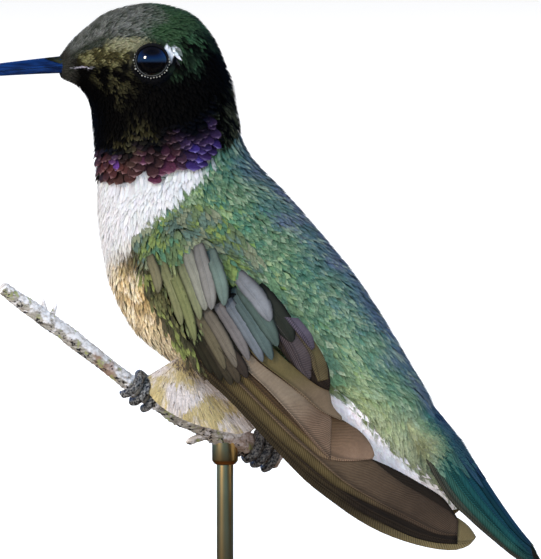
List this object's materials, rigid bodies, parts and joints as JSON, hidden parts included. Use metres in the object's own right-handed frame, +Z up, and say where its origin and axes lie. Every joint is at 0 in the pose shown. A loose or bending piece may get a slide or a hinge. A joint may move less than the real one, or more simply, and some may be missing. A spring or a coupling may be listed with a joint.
{
  "type": "hummingbird display model",
  "caption": "Life-size perched male hummingbird with a dark violet-edged throat, green back and long thin bill, on a cut twig held by a round stand.",
  "frame": {"origin": "centre of the underside of the stand's round base, on the table", "axes": "+Z up from the table, -X the way the bird faces, -Y towards the bird's left side"},
  "size_m": [0.0643, 0.05, 0.0667],
  "materials": {
    "plumage": "small overlapping body feathers, green back, black and violet throat, white collar, buff flanks",
    "leg_tufts": "downy cream tufts",
    "wing_coverts": "olive and blue-grey covert feathers",
    "flight_feathers": "brown stiff vanes with fine barbs",
    "tail_feathers": "teal and dark brown stiff vanes",
    "bill": "satin blue-black horn",
    "eye": "wet gloss",
    "feet": "scaly black skin and horn claws",
    "bark": "rough pale bark with lichen",
    "stand_wood": "dark oiled hardwood",
    "stand_brass": "brushed brass"
  },
  "bodies": {
    "root": {"head": "plumage", "neck": "plumage", "trunk": "plumage", "tail_base": "plumage", "thigh_left": "leg_tufts", "thigh_right": "leg_tufts", "wing_left_coverts": "wing_coverts", "wing_right_coverts": "wing_coverts", "wing_left_flight": "flight_feathers", "wing_right_flight": "flight_feathers", "tail_feathers": "tail_feathers", "bill_upper": "bill", "bill_lower": "bill", "eye_left": "eye", "eye_right": "eye", "foot_left": "feet", "foot_right": "feet", "perch_twig": "bark", "stand_collar": "stand_brass", "stand_rod": "stand_brass", "stand_base": "stand_wood"}
  },
  "joints": []
}
